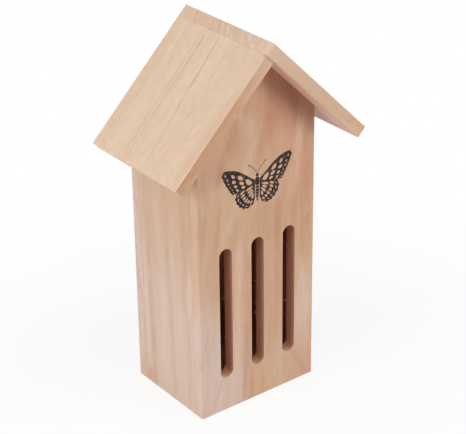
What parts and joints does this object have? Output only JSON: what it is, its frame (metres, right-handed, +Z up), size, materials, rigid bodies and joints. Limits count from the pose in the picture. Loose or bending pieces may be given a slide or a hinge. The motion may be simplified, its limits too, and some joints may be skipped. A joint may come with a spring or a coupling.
{
  "type": "butterfly house",
  "caption": "Tall butterfly house of nailed pine boards: upright entrance slots in the gabled front, an overhanging ridge roof, and a keyhole in the back to hang it by.",
  "frame": {"origin": "on the ground, under the middle of the roof's outline", "axes": "+Z up, -Y out of the slotted front, +X to the right of someone who faces the front"},
  "size_m": [0.1764, 0.105, 0.3039],
  "materials": {
    "pine_front": "planed and sanded, bare",
    "pine_body": "planed and sanded, bare",
    "pine_roof": "planed and sanded, bare",
    "steel": "bright drawn wire"
  },
  "bodies": {
    "root": {"front_panel": "pine_front", "back_panel": "pine_body", "left_side": "pine_body", "right_side": "pine_body", "floor": "pine_body", "roof_board_left": "pine_roof", "roof_board_right": "pine_roof", "ridge_brads": "steel", "front_to_left_side_brads": "steel", "front_to_right_side_brads": "steel", "back_to_left_side_brads": "steel", "back_to_right_side_brads": "steel", "floor_to_left_side_brads": "steel", "floor_to_right_side_brads": "steel", "left_roof_to_front_brads": "steel", "left_roof_to_back_brads": "steel", "right_roof_to_front_brads": "steel", "right_roof_to_back_brads": "steel"}
  },
  "joints": []
}
